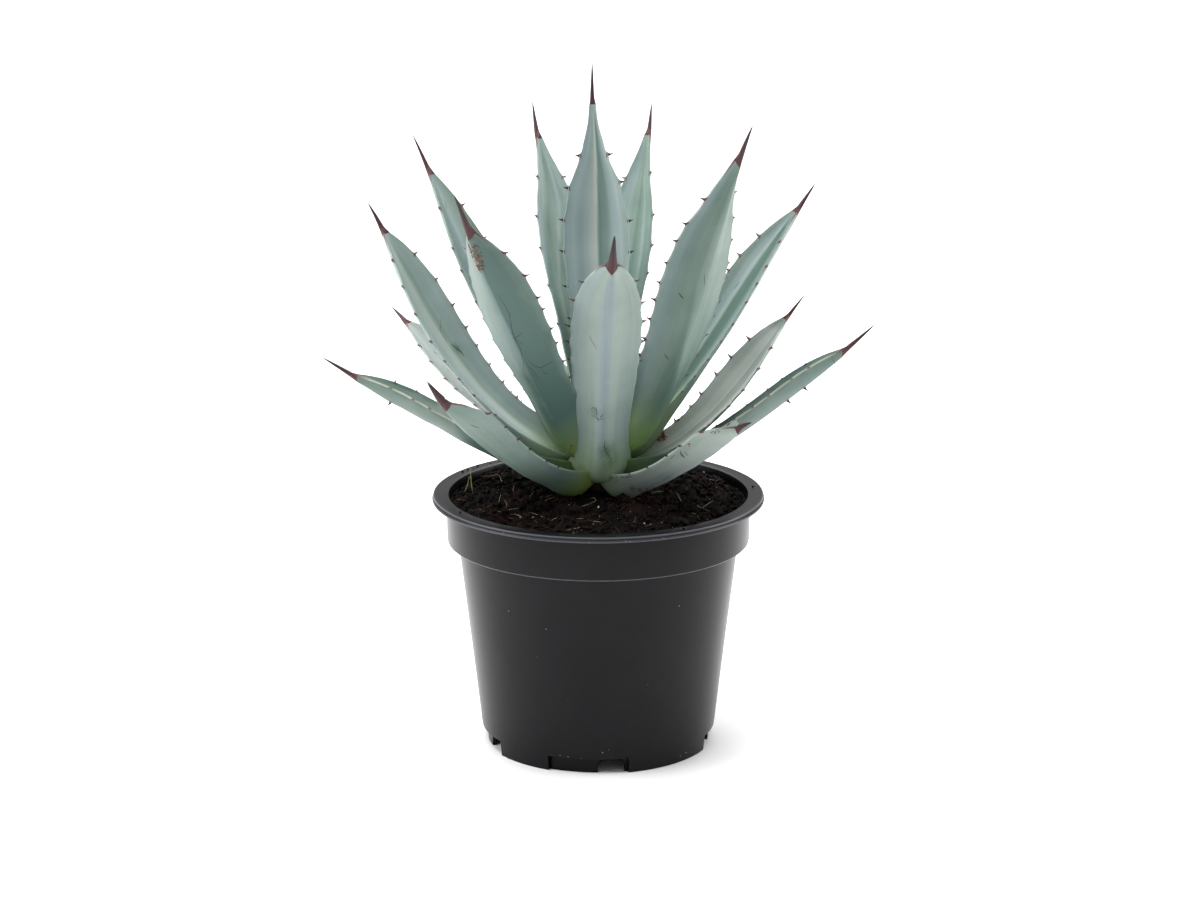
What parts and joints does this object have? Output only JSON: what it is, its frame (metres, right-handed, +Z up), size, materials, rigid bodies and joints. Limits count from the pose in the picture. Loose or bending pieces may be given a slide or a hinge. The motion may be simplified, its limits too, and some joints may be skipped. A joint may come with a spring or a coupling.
{
  "type": "potted agave",
  "caption": "Young agave with a rosette of thick channelled leaves, toothed margins and dark tip spines, in a round plastic nursery pot filled with peat.",
  "frame": {"origin": "middle of the pot's round foot, on the surface that it stands on", "axes": "+Z up along the pot's axis, -Y towards the side the picture shows, +X to that view's right"},
  "size_m": [0.2806, 0.17, 0.347],
  "materials": {
    "pot": "injection-moulded charcoal polypropylene, satin",
    "soil": "dark peat mix with fibres and perlite",
    "stem": "short woody succulent stem",
    "leaf": "succulent leaf skin under a blue-grey wax bloom",
    "spine": "hard dark brown horn"
  },
  "bodies": {
    "root": {"pot": "pot", "stem": "stem", "leaf_heart": "leaf", "spine_heart": "spine", "leaf_01": "leaf", "spine_01": "spine", "leaf_02": "leaf", "spine_02": "spine", "leaf_03": "leaf", "spine_03": "spine", "leaf_04": "leaf", "spine_04": "spine", "leaf_11": "leaf", "spine_11": "spine", "leaf_12": "leaf", "spine_12": "spine", "leaf_16": "leaf", "spine_16": "spine", "leaf_05": "leaf", "spine_05": "spine", "leaf_17": "leaf", "spine_17": "spine", "leaf_18": "leaf", "spine_18": "spine", "leaf_13": "leaf", "spine_13": "spine", "leaf_09": "leaf", "spine_09": "spine", "leaf_06": "leaf", "spine_06": "spine", "leaf_14": "leaf", "spine_14": "spine", "leaf_19": "leaf", "spine_19": "spine", "leaf_20": "leaf", "spine_20": "spine", "leaf_07": "leaf", "spine_07": "spine", "leaf_15": "leaf", "spine_15": "spine", "leaf_10": "leaf", "spine_10": "spine", "leaf_08": "leaf", "spine_08": "spine", "soil": "soil"}
  },
  "joints": []
}
